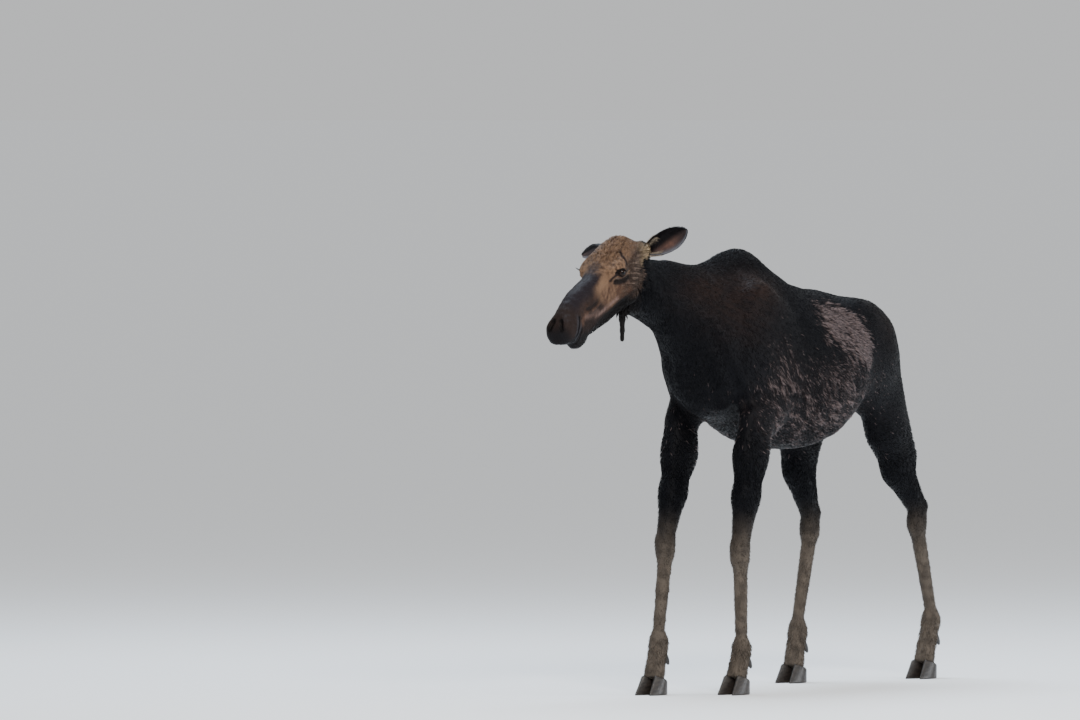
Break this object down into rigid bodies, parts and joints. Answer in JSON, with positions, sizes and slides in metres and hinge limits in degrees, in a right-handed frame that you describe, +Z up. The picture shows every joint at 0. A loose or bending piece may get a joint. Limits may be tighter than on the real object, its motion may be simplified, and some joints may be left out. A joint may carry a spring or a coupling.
{
  "type": "moose",
  "caption": "Life-size still model of a cow moose standing in mid-step, with a long drooping nose, a shoulder hump, wide ears, a short tail and cloven hooves.",
  "frame": {"origin": "on the floor under the middle of the model's bounding box", "axes": "+Z up; the animal faces -X, its left side is at -Y"},
  "size_m": [2.6802, 0.6568, 1.8697],
  "materials": {
    "body_coat": "short dark brown-black hair, damp and faintly glossy",
    "face_hair": "very short brown hair, darker grey-brown on the nose",
    "ear_hair": "soft short hair with a dark rim",
    "leg_hair": "short grey-brown hair",
    "hoof_horn": "satin horn with fine growth rings",
    "eye": "wet and glossy dark brown",
    "nose_skin": "moist bare skin of lips, nostrils and eyelids"
  },
  "bodies": {
    "root": {"head": "face_hair", "neck": "body_coat", "trunk": "body_coat", "tail": "body_coat", "bell": "body_coat", "ear_left": "ear_hair", "ear_right": "ear_hair", "eye_left": "eye", "eye_right": "eye", "foreleg_left_upper": "body_coat", "foreleg_left_lower": "leg_hair", "foreleg_left_claw_outer": "hoof_horn", "foreleg_left_dewclaw_outer": "hoof_horn", "foreleg_left_claw_inner": "hoof_horn", "foreleg_left_dewclaw_inner": "hoof_horn", "foreleg_right_upper": "body_coat", "foreleg_right_lower": "leg_hair", "foreleg_right_claw_outer": "hoof_horn", "foreleg_right_dewclaw_outer": "hoof_horn", "foreleg_right_claw_inner": "hoof_horn", "foreleg_right_dewclaw_inner": "hoof_horn", "hindleg_left_upper": "body_coat", "hindleg_left_lower": "leg_hair", "hindleg_left_claw_outer": "hoof_horn", "hindleg_left_dewclaw_outer": "hoof_horn", "hindleg_left_claw_inner": "hoof_horn", "hindleg_left_dewclaw_inner": "hoof_horn", "hindleg_right_upper": "body_coat", "hindleg_right_lower": "leg_hair", "hindleg_right_claw_outer": "hoof_horn", "hindleg_right_dewclaw_outer": "hoof_horn", "hindleg_right_claw_inner": "hoof_horn", "hindleg_right_dewclaw_inner": "hoof_horn"}
  },
  "joints": []
}
